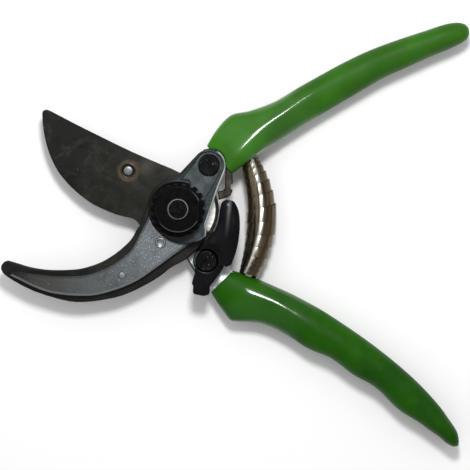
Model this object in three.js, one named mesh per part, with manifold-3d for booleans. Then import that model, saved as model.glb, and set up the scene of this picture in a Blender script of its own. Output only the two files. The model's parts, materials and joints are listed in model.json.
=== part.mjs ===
// Bypass pruning shears, open, lying flat. Millimetres, +Z up.
// The origin is on the pivot axis at the underside of the bolt head. +X halves the angle
// between the open handles and points to the grips.
import * as THREE from 'three';
import { mergeVertices } from 'three/addons/utils/BufferGeometryUtils.js';
import Module from 'manifold-3d';

const wasm = await Module();
wasm.setup();

// ---------------------------------------------------------------- driving dimensions

const GAP = 0.3; // between fitted pieces
const RIVET_GAP = 0.08;
const THREAD_GAP = 0.15;
const THROUGH = { low: -2, high: 30 }; // cutting tools that pass right through reach from low to high
const BOLT = { r: 4.3, headR: 9, rim: 0.5, lip: 0.3 };
const BORE_R = BOLT.r + 0.1;

// heights of the stack, from the bolt head up
const HEAD_TOP = 2.8;
const EYE = { low: 2.9, high: 7.0, r: 16.6, backR: 12.6, chamfer: 1.3 };
const BLADE = { low: 7.1, high: 9.9, edge: 9.6, eyeR: 12.4, bevel: 4.2 };
const COUNTER = { low: 10.0, high: 12.6, ringR: 12.2, earR: 6.7, chamfer: 0.3 };
const ARM = { low: 12.7, high: 16.2, chamfer: 0.9, rootHigh: 15 };
const BOSS = { high: 18, floor: 16, chamfer: 0.5 };
const NUT_TOP = 21.5;

// Around the nut and the locking segment, teeth are given by half their angles at root and tip.
const NUT = { teeth: 20, tipR: 11, rootR: 9.9, rootHalf: 6.8, tipHalf: 2.2, bodyR: 9.4, flat: 8.2, flange: 0.3,
  edge: 0.4 };
const SEGMENT = { x: 11.2, y: 18.9, padR: 5.3, armR: 6.8, teeth: 3, first: 1.5, innerR: 11.5, toothR: 10.3,
  rootHalf: 4.6, tipHalf: 1.4, sunk: 0.2, below: 0.1 };
const SCREW = { headR: 4.3, shankR: 2, slot: 1.1, slotDepth: 0.9, edge: 0.35 };
// Both screws: where the head and the shank start, and how the slot is turned, in degrees.
const SEGMENT_SCREW = { sink: 16.9, headLow: 17.1, headHigh: 18.1, shankLow: 12.9, turn: 4 };
const CATCH_SCREW = { headLow: 16.8, headHigh: 18.5, shankLow: 7, turn: -45 };

const CATCH = { x: 13.17, y: -20.02, hubR: 5.5, hubTop: 13.3, hubEdge: 0.4, neckTop: 11.6, washerR: 4.4,
  play: 0.15 };
const CATCH_BODY = { low: 14.2, padHigh: 16.6, padR: 4.5, lowR: 6.1, riserR: 4.9, riserLow: 15, tailLow: 15.2,
  tailHigh: 17.6, tailChamfer: 0.4 };
const LEAF = { low: 18.9, high: 22.3, lowChamfer: 0.3, highChamfer: 0.9 };
const LUG = { distance: 11.84, angle: 36.7, r: 1, low: 13.6 };

const KEEPER = { low: 12.9, high: 15.9, chamfer: 0.4 };
const NOTCH = { x: 22, y: 11, r: 1.4 };

const GRIP = { wall: 1.7, fit: GAP, power: 2.5, sides: 18, perRib: 2 };
const SPRING = { z: 8, endR: 3.5, midR: 6.15, turns: 14, boreR: 2.4, boreDepth: 5 };
// A spring stud stands out of the handle into the spring; the other two reaches are for its cuts.
const STUD = { r: 2, inside: 7, reach: 4.5, grip: 9, forging: 7.4, clear: 3 };

// ---------------------------------------------------------------- materials

const paint = (color, roughness, metalness) => new THREE.MeshStandardMaterial({ color, roughness, metalness });
const FINISH = {
  forging: paint(0xa0a6ab, 0.45, 0.9),
  bladeSteel: paint(0x34342e, 0.4, 0.8),
  counterSteel: paint(0x25251f, 0.45, 0.8),
  vinyl: paint(0x337018, 0.25, 0),
  blackSteel: paint(0x111113, 0.4, 0.6),
  brightSteel: paint(0xb8babc, 0.3, 0.95),
  springSteel: paint(0x6b5f52, 0.35, 0.9),
  segmentSteel: paint(0x74787c, 0.45, 0.85),
};

// ---------------------------------------------------------------- solids and surfaces

const vectors = (list) => list.map(([x, y]) => new THREE.Vector2(x, y));

// A smooth run through a few points.
const curve = (list, count = list.length * 3) => new THREE.SplineCurve(vectors(list)).getPoints(count);

// An arc about a centre, from one angle to another, in degrees.
function arc(x, y, r, from, to, count = 12) {
  const list = [];
  for (let i = 0; i <= count; i += 1) {
    const a = THREE.MathUtils.degToRad(from + ((to - from) * i) / count);
    list.push(new THREE.Vector2(x + r * Math.cos(a), y + r * Math.sin(a)));
  }
  return list;
}

// Joins runs of points into one closed outline, counter-clockwise, without doubled points.
function outline(...runs) {
  const all = runs.flat();
  const kept = all.filter((p, i) => p.distanceTo(all[(i + 1) % all.length]) > 0.02);
  if (THREE.ShapeUtils.isClockWise(kept)) kept.reverse();
  return kept;
}

// Moves each point of a counter-clockwise outline outwards, or inwards if the distance is negative.
function grow(ring, distance) {
  return ring.map((p, i) => {
    const before = ring[(i + ring.length - 1) % ring.length];
    const after = ring[(i + 1) % ring.length];
    const a = p.clone().sub(before).normalize();
    const b = after.clone().sub(p).normalize();
    const normal = new THREE.Vector2(a.y + b.y, -a.x - b.x).normalize();
    const spread = Math.max(0.6, normal.dot(new THREE.Vector2(a.y, -a.x)));
    return p.clone().addScaledVector(normal, distance / spread);
  });
}

// Skins a stack of rings that all have the same number of 3-D points, and caps both ends.
function skin(rings, caps) {
  const count = rings[0].length;
  const position = rings.flat().flatMap((p) => [p.x, p.y, p.z]);
  const index = [];
  for (let level = 0; level + 1 < rings.length; level += 1) {
    for (let i = 0; i < count; i += 1) {
      const a = level * count + i;
      const b = level * count + ((i + 1) % count);
      index.push(a, b, b + count, a, b + count, a + count);
    }
  }
  const top = (rings.length - 1) * count;
  caps[0].forEach(([a, b, c]) => index.push(a, c, b));
  caps[1].forEach(([a, b, c]) => index.push(top + a, top + b, top + c));
  const geometry = new THREE.BufferGeometry();
  geometry.setAttribute('position', new THREE.Float32BufferAttribute(position, 3));
  geometry.setIndex(index);
  return toSolid(geometry);
}

function toSolid(geometry) {
  geometry.deleteAttribute('normal');
  geometry.deleteAttribute('uv');
  const merged = mergeVertices(geometry, 1e-4);
  const triVerts = Uint32Array.from(merged.index.array);
  const vertProperties = Float32Array.from(merged.attributes.position.array);
  const solid = new wasm.Manifold(new wasm.Mesh({ numProp: 3, vertProperties, triVerts }));
  if (solid.volume() > 0) return solid;
  for (let i = 0; i < triVerts.length; i += 3) {
    [triVerts[i], triVerts[i + 1]] = [triVerts[i + 1], triVerts[i]];
  }
  return new wasm.Manifold(new wasm.Mesh({ numProp: 3, vertProperties, triVerts }));
}

// A stack of flat outlines at given heights: [[outline, z], ...]. All are capped like the main one.
function stack(levels, main) {
  const rings = levels.map(([ring, z]) => ring.map((p) => new THREE.Vector3(p.x, p.y, z)));
  const cap = THREE.ShapeUtils.triangulateShape(main, []);
  return skin(rings, [cap, cap]);
}

// A flat plate with optional chamfers on its lower and upper edges.
function plate(ring, low, high, lowChamfer = 0, highChamfer = 0) {
  const levels = [];
  if (lowChamfer) levels.push([grow(ring, -lowChamfer), low]);
  levels.push([ring, low + lowChamfer]);
  levels.push([ring, high - highChamfer]);
  if (highChamfer) levels.push([grow(ring, -highChamfer), high]);
  return stack(levels, ring);
}

// A turned piece about a vertical axis. The profile is [[radius, z], ...] from bottom to top.
function turned(profile, x = 0, y = 0, segments = 36) {
  const points = vectors([[0, profile[0][1]], ...profile, [0, profile[profile.length - 1][1]]]);
  const geometry = new THREE.LatheGeometry(points, segments);
  geometry.rotateX(Math.PI / 2);
  geometry.translate(x, y, 0);
  return toSolid(geometry);
}

const rod = (r, low, high, x = 0, y = 0, segments = 36) => turned([[r, low], [r, high]], x, y, segments);

function box(x, y, z, wide, long, tall, turn = 0) {
  const geometry = new THREE.BoxGeometry(wide, long, tall);
  geometry.rotateZ(THREE.MathUtils.degToRad(turn));
  geometry.translate(x, y, z);
  return toSolid(geometry);
}

// A round rod between two points in space.
function bar(from, to, r, segments = 24) {
  const axis = new THREE.Vector3().subVectors(to, from);
  const geometry = new THREE.CylinderGeometry(r, r, axis.length(), segments);
  const turn = new THREE.Quaternion().setFromUnitVectors(new THREE.Vector3(0, 1, 0), axis.clone().normalize());
  geometry.applyQuaternion(turn);
  const middle = from.clone().add(to).multiplyScalar(0.5);
  geometry.translate(middle.x, middle.y, middle.z);
  return toSolid(geometry);
}

const join = (...solids) => solids.reduce((a, b) => a.add(b));
const cut = (solid, ...tools) => tools.reduce((a, b) => a.subtract(b), solid);

const group = new THREE.Group();
function place(name, solid, material) {
  const mesh = solid.getMesh();
  const geometry = new THREE.BufferGeometry();
  geometry.setAttribute('position', new THREE.Float32BufferAttribute(mesh.vertProperties, mesh.numProp));
  geometry.setIndex(new THREE.Uint32BufferAttribute(mesh.triVerts, 1));
  geometry.computeVertexNormals();
  const part = new THREE.Mesh(geometry, material);
  part.name = name;
  group.add(part);
}

// A slotted screw: head, slot at an angle, and a shank into the forging.
function slottedScrew(x, y, { headLow, headHigh, shankLow, turn }) {
  const { headR, shankR, edge } = SCREW;
  const profile = [[shankR, shankLow], [shankR, headLow], [headR, headLow], [headR, headHigh - edge],
    [headR - edge, headHigh]];
  const slot = box(x, y, headHigh, SCREW.slot, 3 * headR, 2 * SCREW.slotDepth, turn);
  return cut(turned(profile, x, y), slot);
}

const hole = (r, x = 0, y = 0, segments = 24) => rod(r, THROUGH.low, THROUGH.high, x, y, segments);

// ---------------------------------------------------------------- grips and tangs

// Each rib of a grip: its outer edge, its inner edge, its lowest and its highest point.
const UPPER_RIBS = [
  { outer: [9.6, 26.9], inner: [21.9, 15.1], low: 3.4, high: 17.6 },
  { outer: [13.4, 34.4], inner: [26, 20], low: 2, high: 17.8 },
  { outer: [18.6, 40.4], inner: [31, 24.9], low: 1, high: 17.7 },
  { outer: [26.1, 42.8], inner: [38, 30.5], low: 0.4, high: 17.2 },
  { outer: [35.6, 47.2], inner: [46.2, 36.7], low: 0, high: 16.6 },
  { outer: [44.4, 53.3], inner: [54.1, 42.6], low: 0, high: 16.2 },
  { outer: [53.8, 59.6], inner: [62.6, 48.6], low: 0, high: 16 },
  { outer: [63.2, 65.7], inner: [71.1, 54.6], low: 0, high: 16 },
  { outer: [73.2, 71.4], inner: [80, 60.7], low: 0, high: 16 },
  { outer: [84.3, 76.6], inner: [89.9, 66.2], low: 0.1, high: 15.8 },
  { outer: [94.6, 80.9], inner: [99, 71.2], low: 0.3, high: 15.5 },
  { outer: [103.2, 84.1], inner: [106.2, 75], low: 0.6, high: 15.2 },
  { outer: [108.6, 85.8], inner: [109.8, 77.4], low: 0.9, high: 15 },
];
const LOWER_RIBS = [
  { outer: [16, -32.8], inner: [24.2, -23.3], low: 3, high: 14 },
  { outer: [20, -39.1], inner: [28.5, -24], low: 1.8, high: 14.4 },
  { outer: [25.6, -43.6], inner: [34.2, -25.8], low: 0.9, high: 14.9 },
  { outer: [35.6, -43.8], inner: [42, -28.3], low: 0.3, high: 15.3 },
  { outer: [44.4, -46.2], inner: [50, -31.2], low: 0, high: 15.7 },
  { outer: [55, -51.2], inner: [61, -36.1], low: 0, high: 16 },
  { outer: [67, -56.4], inner: [72.5, -42.3], low: 0, high: 16 },
  { outer: [78, -62], inner: [84, -49.1], low: 0, high: 16 },
  { outer: [89, -68.4], inner: [95.4, -57], low: 0, high: 15.9 },
  { outer: [99, -75.3], inner: [105, -64.7], low: 0.1, high: 15.7 },
  { outer: [108.3, -81.2], inner: [112.8, -72], low: 0.3, high: 15.4 },
  { outer: [117.2, -87.9], inner: [121.2, -81.6], low: 0.9, high: 14.8 },
];
const UPPER_END = { reach: 4, power: 3 };
const LOWER_END = { reach: 3.2, power: 2.6 };
// The shallow finger waves of the lower grip's outer edge, along X.
const WAVE = { depth: 0.6, pitch: 19.5, crest: 67, from: 47, to: 112 };

// How far the outer edge moves inwards at x.
function fingerWave(x) {
  if (x < WAVE.from || x > WAVE.to) return 0;
  const fade = Math.sin((Math.PI * (x - WAVE.from)) / (WAVE.to - WAVE.from)) ** 0.5;
  return WAVE.depth * fade * Math.cos((2 * Math.PI * (x - WAVE.crest)) / WAVE.pitch);
}

// Lofts a grip, or its tang when inset is above zero: ribs become rounded-square sections.
function gripSolid(ribs, end, inset, waves, perRib = GRIP.perRib, sides = GRIP.sides) {
  const outer = new THREE.SplineCurve(vectors(ribs.map((rib) => rib.outer)));
  const inner = new THREE.SplineCurve(vectors(ribs.map((rib) => rib.inner)));
  const height = new THREE.SplineCurve(vectors(ribs.map((rib) => [rib.low, rib.high])));
  const steps = (ribs.length - 1) * perRib;
  const capSteps = 5;
  const sections = [];
  for (let i = 0; i <= steps; i += 1) {
    const a = outer.getPoint(i / steps);
    const b = inner.getPoint(i / steps);
    const h = height.getPoint(i / steps);
    const across = a.clone().sub(b);
    if (waves) a.y += fingerWave(a.x);
    sections.push({
      middle: a.clone().add(b).multiplyScalar(0.5),
      across: across.clone().normalize(),
      half: a.distanceTo(b) / 2 - inset,
      z: (h.x + h.y) / 2,
      tall: (h.y - h.x) / 2 - inset,
    });
  }
  const last = sections[steps];
  const ahead = new THREE.Vector2(-last.across.y, last.across.x);
  if (ahead.dot(last.middle.clone().sub(sections[0].middle)) < 0) ahead.negate();
  for (let i = 1; i <= capSteps; i += 1) {
    const s = Math.sin((Math.PI / 2) * (i / (capSteps + 0.25)));
    const scale = (1 - s ** end.power) ** (1 / end.power);
    sections.push({
      ...last,
      middle: last.middle.clone().addScaledVector(ahead, s * (end.reach - inset)),
      half: last.half * scale,
      tall: last.tall * scale,
    });
  }
  const rings = sections.map((section) => sectionRing(section, sides));
  const fan = [];
  for (let i = 1; i + 1 < sides; i += 1) fan.push([0, i, i + 1]);
  return skin(rings, [fan, fan]);
}

function sectionRing({ middle, across, half, z, tall }, sides) {
  const bend = (value) => Math.sign(value) * Math.abs(value) ** (2 / GRIP.power);
  const ring = [];
  for (let i = 0; i < sides; i += 1) {
    const a = (2 * Math.PI * (i + 0.5)) / sides;
    const flat = middle.clone().addScaledVector(across, half * bend(Math.cos(a)));
    ring.push(new THREE.Vector3(flat.x, flat.y, z + tall * bend(Math.sin(a))));
  }
  return ring;
}

// ---------------------------------------------------------------- outlines

function bladeOutlines() {
  const tip = [[-58.9, 34.9], [-58.6, 36], [-57.3, 36.7], [-55.6, 36.3]];
  const spine = curve([[-55.6, 36.3], [-45.6, 32], [-34.2, 27.4], [-21, 22.2], [-9, 18.1], [-0.2, 15],
    [7, 10.2]], 12);
  const eye = arc(0, 0, BLADE.eyeR, 50, -128, 22);
  const heel = vectors([[-11.4, -10.2], [-15.3, -7.8], [-16.9, -5.9]]);
  const edge = curve([[-18.3, -5.2], [-24.4, -4.2], [-29.6, -2.7], [-35.7, -0.3], [-41.9, 3.6], [-47.4, 8.3],
    [-51.5, 13.1], [-55.3, 20.2], [-57.8, 28.1], [-58.9, 34.9]], 30);
  const front = curve(tip, 6);
  // The ground bevel is on the underside: the edge stands back there, fading out at both ends.
  const ground = edge.map((p, i) => {
    const before = edge[Math.max(0, i - 1)];
    const after = edge[Math.min(edge.length - 1, i + 1)];
    const along = after.clone().sub(before).normalize();
    const fade = Math.min(1, i / 5, (edge.length - 1 - i) / 6);
    return p.clone().addScaledVector(new THREE.Vector2(along.y, -along.x), BLADE.bevel * fade);
  });
  return {
    full: outline(front, spine, eye, heel, edge),
    ground: outline(front, spine, eye, heel, ground),
  };
}

const HOOK_INNER = [[-68, -26.3], [-63.6, -27.2], [-58.5, -28.3], [-52.2, -28.8], [-45.9, -28.5], [-39.2, -27.6],
  [-34.4, -26.1], [-29.5, -23.8], [-24.7, -20.4], [-20.8, -16.7], [-18.1, -13.4], [-16.3, -9.4]];
const HOOK_OUTER = [[-69.8, -31.4], [-66.5, -33.7], [-56.5, -38], [-43.3, -40.9], [-35.7, -40.9], [-28.3, -39.5],
  [-20.1, -37], [-12, -32.6], [-5.2, -27.8], [-1, -23.9], [4.4, -20.4], [8.4, -16.6], [10.8, -12.9]];

function counterOutline() {
  const tip = vectors([[-69.4, -26.9], [-70.5, -28.4], [-70.6, -30]]);
  const ringStart = arc(0, 0, COUNTER.ringR, -44, 40, 9);
  const ear = arc(SEGMENT.x, SEGMENT.y, COUNTER.earR, -35, 136, 13);
  const ringEnd = curve([[-0.3, 15.2], [-5.1, 12.6], [-9.8, 8.6], [-12.2, 4.5], [-13.4, -1.3], [-15.3, -7.8]], 14);
  return outline(tip, curve(HOOK_OUTER, 30), ringStart, ear, ringEnd, curve(HOOK_INNER, 30).reverse());
}

function hookArmOutline() {
  const outer = [[-66.4, -32.2], [-57.9, -35.6], [-51.5, -37.6], [-45.1, -38.4], [-36.8, -38.3], [-30.5, -37.4],
    [-22.4, -34.5], [-14.3, -30.2], [-5.7, -23.3], [0.5, -17.9], [5.2, -14.3]];
  const inner = [[-11.1, -2.4], [-14, -9.5], [-17.4, -17.7], [-21.3, -21.8], [-25.2, -25], [-31.3, -28.2],
    [-37.4, -30.2], [-47.4, -31.2], [-58, -30.9], [-63.4, -30.5]];
  return outline(vectors([[-66, -30.8]]), curve(outer, 30), vectors([[8, -6], [0, 6]]), curve(inner, 30));
}

function bossOutline() {
  const screwSide = arc(SEGMENT.x, SEGMENT.y, SEGMENT.armR, -18, 112, 10);
  const left = curve([[6.4, 22.6], [3.2, 17.8], [-0.6, 13.4], [-6.2, 10.4], [-10.6, 5.8], [-12, 0.4], [-10.3, -6],
    [-4.8, -11.6], [1.1, -13.9], [6.7, -13.3], [10.6, -11.4]], 26);
  const corner = vectors([[12.1, -9.9], [12.2, -8.4]]);
  const right = curve([[11.7, -5.1], [14, 3.8], [15.7, 10.7]], 6);
  return outline(left, corner, right, screwSide);
}

// The part of the boss that runs back inside the grip.
const armRoot = (more = 0) => grow(outline(vectors([[9.8, 22], [16.6, 16.6], [21.4, 22], [24.2, 28], [22.4, 33.6],
  [18.2, 33], [13.6, 28.6]])), more);

function noseOutline() {
  return outline(vectors([[-9, -12.6], [-14.6, -4.4], [-19, 4]]), arc(-21.8, 14.3, 4.6, 205, 55, 12),
    vectors([[-8, 14.4], [2, 12]]));
}

// ---------------------------------------------------------------- spring path and studs

const SPRING_AXIS = new THREE.CatmullRomCurve3([[28, 21.6], [32.4, 10.5], [34.5, -1], [33.5, -13.7], [30.6, -24.1]]
  .map(([x, y]) => new THREE.Vector3(x, y, SPRING.z)));

// A body of revolution bent along the spring's axis, with one step for each turn.
function springBody(extra) {
  const rings = [];
  const sides = 14;
  const stations = SPRING.turns;
  for (let i = 0; i <= stations; i += 1) {
    const t = i / stations;
    const at = SPRING_AXIS.getPointAt(t);
    const along = SPRING_AXIS.getTangentAt(t);
    const across = new THREE.Vector3(-along.y, along.x, 0);
    const r = SPRING.endR + (SPRING.midR - SPRING.endR) * Math.sin(Math.PI * t) + extra;
    const ring = [];
    for (let k = 0; k < sides; k += 1) {
      const a = (2 * Math.PI * k) / sides;
      const flat = at.clone().addScaledVector(across, r * Math.cos(a));
      ring.push(new THREE.Vector3(flat.x, flat.y, flat.z + r * Math.sin(a)));
    }
    rings.push(ring);
  }
  const fan = [];
  for (let k = 1; k + 1 < sides; k += 1) fan.push([0, k, k + 1]);
  return skin(rings, [fan, fan]);
}

// A short rod on the spring's axis at one end, from inside the handle into the spring.
function studRod(end, r, inside, reach) {
  const at = SPRING_AXIS.getPointAt(end);
  const along = SPRING_AXIS.getTangentAt(end).multiplyScalar(end === 0 ? 1 : -1);
  return bar(at.clone().addScaledVector(along, -inside), at.clone().addScaledVector(along, reach), r);
}

// ---------------------------------------------------------------- hook handle

const springClearance = springBody(0.5);
const studCut = (end, inside) => studRod(end, STUD.r + GAP, inside, STUD.clear);

// The bar comes out of the grip, turns back towards the pivot, and ends beside the boss.
const keeperOutline = (more) => grow(outline(vectors([[17.9, 20.4], [20.8, 20.4], [20.9, 17.4], [21.5, 12],
  [21.6, 9.4], [20.9, 7.3], [19.4, 6.4], [16.2, 5.2], [15.6, 8.6], [17.8, 9.2], [18.4, 10.2], [18.2, 15]])), more);

function makeCatchKeeper() {
  const { low, high, chamfer } = KEEPER;
  const body = plate(keeperOutline(0), low, high, chamfer, chamfer);
  place('catch_keeper', cut(body, hole(NOTCH.r, NOTCH.x, NOTCH.y, 20)), FINISH.springSteel);
}

// One tooth as four points about the pivot's axis: root, tip, tip, root, at a middle angle in degrees.
function tooth(middle, rootR, tipR, rootHalf, tipHalf) {
  const corners = [[rootR, -rootHalf], [tipR, -tipHalf], [tipR, tipHalf], [rootR, rootHalf]];
  return corners.map(([r, off]) => {
    const a = THREE.MathUtils.degToRad(middle + off);
    return new THREE.Vector2(r * Math.cos(a), r * Math.sin(a));
  });
}

const PITCH = 360 / NUT.teeth;

// A pad that widens from the screw to the nut and has teeth that stand in the nut's gaps.
function segmentOutline(more) {
  const { x, y, padR, teeth, first, innerR, toothR, rootHalf, tipHalf } = SEGMENT;
  const face = [];
  for (let k = 0; k < teeth; k += 1) {
    face.push(...tooth((first + k) * PITCH, innerR, toothR, rootHalf, tipHalf));
  }
  const right = vectors([[13.8, 11.5], [10.9, 5.9]]);
  const left = vectors([[3.6, 12.4], [0.5, 12.3]]);
  return grow(outline(right, face, left, arc(x, y, padR, 165, -15, 16)), more);
}

function makeLockSegment() {
  const { x, y, sunk, below } = SEGMENT;
  const body = plate(segmentOutline(0), BOSS.floor + sunk, BOSS.high - below);
  const sink = rod(SCREW.headR + GAP, SEGMENT_SCREW.sink, THROUGH.high, x, y);
  place('lock_segment', cut(body, hole(SCREW.shankR + GAP, x, y), sink), FINISH.segmentSteel);
  place('segment_screw', slottedScrew(x, y, SEGMENT_SCREW), FINISH.blackSteel);
}

function makePivot() {
  const { r, headR, rim, lip } = BOLT;
  const end = NUT_TOP - lip;
  const profile = [[headR - rim, 0], [headR, rim], [headR, HEAD_TOP - lip], [headR - lip, HEAD_TOP], [r, HEAD_TOP],
    [r, end - rim], [r - rim, end]];
  place('pivot_bolt', turned(profile), FINISH.brightSteel);

  const teeth = [];
  for (let k = 0; k < NUT.teeth; k += 1) {
    teeth.push(...tooth(k * PITCH, NUT.rootR, NUT.tipR, NUT.rootHalf, NUT.tipHalf));
  }
  const flange = plate(outline(teeth), BOSS.floor + SEGMENT.sunk, BOSS.high + NUT.flange);
  const body = turned([[NUT.bodyR, BOSS.high], [NUT.bodyR, NUT_TOP - NUT.edge], [NUT.bodyR - NUT.edge, NUT_TOP]]);
  const step = BOSS.high + NUT.flange + 0.1;
  const flat = box(NUT.flat + NUT.bodyR, 0, (step + THROUGH.high) / 2, 2 * NUT.bodyR, 4 * NUT.bodyR,
    THROUGH.high - step);
  place('pivot_nut', cut(join(flange, body), flat, hole(r + GAP, 0, 0, 36)), FINISH.blackSteel);
}

const RIVET_EDGE = 0.35;
const REAR_RIVET = { x: -6.1, y: -14.2, r: 2.2, proud: 0.35 };
const FRONT_RIVET = { x: -20.7, y: -28.7, r: 1.4, proud: 0.1 };

const rivetHoles = [REAR_RIVET, FRONT_RIVET].map(({ x, y, r }) => hole(r + RIVET_GAP, x, y));

function makeCounterBlade() {
  const body = plate(counterOutline(), COUNTER.low, COUNTER.high, 0, COUNTER.chamfer);
  const screwHole = hole(SCREW.shankR + GAP, SEGMENT.x, SEGMENT.y);
  place('counter_blade', cut(body, hole(BORE_R, 0, 0, 36), screwHole, ...rivetHoles), FINISH.counterSteel);
  for (const [name, { x, y, r, proud }] of [['rear', REAR_RIVET], ['front', FRONT_RIVET]]) {
    const top = ARM.high + proud;
    const pin = turned([[r, COUNTER.low + RIVET_GAP], [r, top - RIVET_EDGE], [r - RIVET_EDGE, top]], x, y, 24);
    place(`counter_blade_rivet_${name}`, pin, FINISH.brightSteel);
  }
}

const POCKET_GAP = 0.4;
const keeperSlot = plate(keeperOutline(GAP), KEEPER.low - GAP, KEEPER.high + GAP);
const UPPER_TANG = gripSolid(UPPER_RIBS, UPPER_END, GRIP.wall + GRIP.fit, false, 1, 12);
const UPPER_CAVITY = gripSolid(UPPER_RIBS, UPPER_END, GRIP.wall, false, 1, 12);

function makeHookForging() {
  const arm = plate(hookArmOutline(), ARM.low, ARM.high, 0, ARM.chamfer);
  const boss = plate(bossOutline(), ARM.low, BOSS.high, 0, BOSS.chamfer);
  const root = plate(armRoot(), ARM.low, ARM.rootHigh);
  const underEar = rod(COUNTER.earR + POCKET_GAP, THROUGH.low, ARM.low - 0.1, SEGMENT.x, SEGMENT.y);
  const tang = cut(UPPER_TANG, underEar);
  const pocket = join(rod(NUT.tipR + POCKET_GAP, BOSS.floor, THROUGH.high),
    plate(segmentOutline(POCKET_GAP), BOSS.floor, THROUGH.high));
  const screwHole = hole(SCREW.shankR + THREAD_GAP, SEGMENT.x, SEGMENT.y);
  const solid = cut(join(arm, boss, root, tang), pocket, hole(BORE_R, 0, 0, 36), screwHole, keeperSlot,
    springClearance, studCut(0, STUD.forging), ...rivetHoles);
  place('hook_handle_forging', solid, FINISH.forging);
}

function makeUpperGrip() {
  const body = gripSolid(UPPER_RIBS, UPPER_END, 0, false);
  const aroundArm = rod(SEGMENT.armR + GAP, COUNTER.high, THROUGH.high, SEGMENT.x, SEGMENT.y);
  const aroundEar = rod(COUNTER.earR + POCKET_GAP, THROUGH.low, ARM.low, SEGMENT.x, SEGMENT.y);
  const aroundRoot = plate(armRoot(GAP), ARM.low - GAP, ARM.rootHigh + GAP);
  const solid = cut(body, UPPER_CAVITY, aroundRoot, aroundArm, aroundEar, keeperSlot, springClearance,
    studCut(0, STUD.grip));
  place('upper_grip', solid, FINISH.vinyl);
}

// ---------------------------------------------------------------- spring

function makeSpring() {
  const bores = [0, 1].map((end) => studRod(end, SPRING.boreR, STUD.clear, SPRING.boreDepth));
  place('volute_spring', cut(springBody(0), ...bores), FINISH.springSteel);
  place('spring_stud_upper', studRod(0, STUD.r, STUD.inside, STUD.reach), FINISH.brightSteel);
  place('spring_stud_lower', studRod(1, STUD.r, STUD.inside, STUD.reach), FINISH.brightSteel);
}

// ---------------------------------------------------------------- blade handle

const BLADE_RIVET = { x: -21.8, y: 14.3, r: 2.3, sinkR: 3.2, sinkDepth: 0.9, low: EYE.low + 0.2 };
const LOWER_TANG = gripSolid(LOWER_RIBS, LOWER_END, GRIP.wall + GRIP.fit, true, 1, 12);
const LOWER_CAVITY = gripSolid(LOWER_RIBS, LOWER_END, GRIP.wall, true, 1, 12);

function makeCuttingBlade() {
  const { full, ground } = bladeOutlines();
  const body = stack([[ground, BLADE.low], [full, BLADE.edge], [full, BLADE.high]], full);
  const { x, y, r, sinkR, sinkDepth, low } = BLADE_RIVET;
  const sink = BLADE.high - sinkDepth;
  const around = turned([[r + RIVET_GAP, THROUGH.low], [r + RIVET_GAP, sink], [sinkR + RIVET_GAP, BLADE.high],
    [sinkR + RIVET_GAP, THROUGH.high]], x, y, 24);
  place('cutting_blade', cut(body, hole(BORE_R, 0, 0, 36), around), FINISH.bladeSteel);
  const flush = 0.05;
  place('blade_rivet', turned([[r, low], [r, sink - flush], [sinkR, BLADE.high - flush]], x, y, 24),
    FINISH.brightSteel);
}

// The raised neck between the catch hub and the grip.
const neckOutline = (more = 0) => grow(outline(arc(CATCH.x, CATCH.y, CATCH.hubR, 200, 65, 12),
  vectors([[18.6, -16.4], [22.6, -21.4], [25.6, -26], [28.4, -31], [25, -36.6], [21.2, -35.6], [17.4, -31.2],
    [15.8, -30.4], [9.2, -25.4]])), more);

function makeBladeForging() {
  const round = outline(arc(0, 0, EYE.r, -78, 38, 18), arc(0, 0, EYE.backR, 74, 262, 22));
  const eye = plate(round, EYE.low, EYE.high,
    0, EYE.chamfer);
  const web = plate(outline(vectors([[-4, -12], [4.6, -19.7], [8.8, -25.5], [15.8, -30.6], [21, -33], [25, -29],
    [22.6, -21.4], [16.2, -12.5], [14.5, -6]])), EYE.low, EYE.high, 0, 0.8);
  const neck = plate(neckOutline(), EYE.low, CATCH.neckTop);
  const { hubR, hubTop, hubEdge } = CATCH;
  const hub = turned([[hubR, EYE.low], [hubR, hubTop - hubEdge], [hubR - hubEdge, hubTop]], CATCH.x, CATCH.y);
  const nose = plate(noseOutline(), EYE.low, EYE.high, 0.6, 0);
  const { x, y, r } = BLADE_RIVET;
  const screwBase = CATCH_SCREW.shankLow - 1;
  const screwHole = rod(SCREW.shankR + THREAD_GAP, screwBase, THROUGH.high, CATCH.x, CATCH.y, 24);
  const solid = cut(join(eye, web, neck, hub, nose, LOWER_TANG), hole(BORE_R, 0, 0, 36),
    hole(r + RIVET_GAP, x, y), screwHole, springClearance, studCut(1, STUD.forging));
  place('blade_handle_forging', solid, FINISH.forging);
}

function makeLowerGrip() {
  const body = gripSolid(LOWER_RIBS, LOWER_END, 0, true);
  const aroundNeck = plate(neckOutline(GAP), EYE.low - GAP, CATCH.neckTop + GAP);
  const solid = cut(body, LOWER_CAVITY, aroundNeck, springClearance, studCut(1, STUD.grip));
  place('lower_grip', solid, FINISH.vinyl);
}

// ---------------------------------------------------------------- thumb catch

function leafOutline() {
  const left = curve([[10.4, -14.8], [12.7, -11.5], [15.7, -7.2], [16.8, -1.8], [17.1, 1.5], [17.4, 3.8]], 12);
  const tip = curve([[17.4, 3.8], [18.5, 5.2], [20.6, 5.5], [22.3, 5.1], [23.2, 4.2]], 6);
  const right = curve([[23.2, 4.2], [24.6, 1.6], [25.4, -1.8], [25.8, -7], [25.3, -13.8], [23.6, -20.6]], 14);
  const under = arc(CATCH.x, CATCH.y, CATCH_BODY.riserR, -12, 112, 12);
  return outline(left, tip, right, vectors([[21.7, -21.8]]), under);
}

function tailOutline() {
  return outline(vectors([[8.7, -22.1], [8.8, -25.5], [7.9, -29.7], [8.6, -30.7], [8.6, -33.2], [9.3, -34],
    [13.3, -34.5], [15.2, -33.8], [15.6, -32.6], [15.4, -30.3], [19, -25], [20.6, -21.8], [17, -18]]));
}

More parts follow.
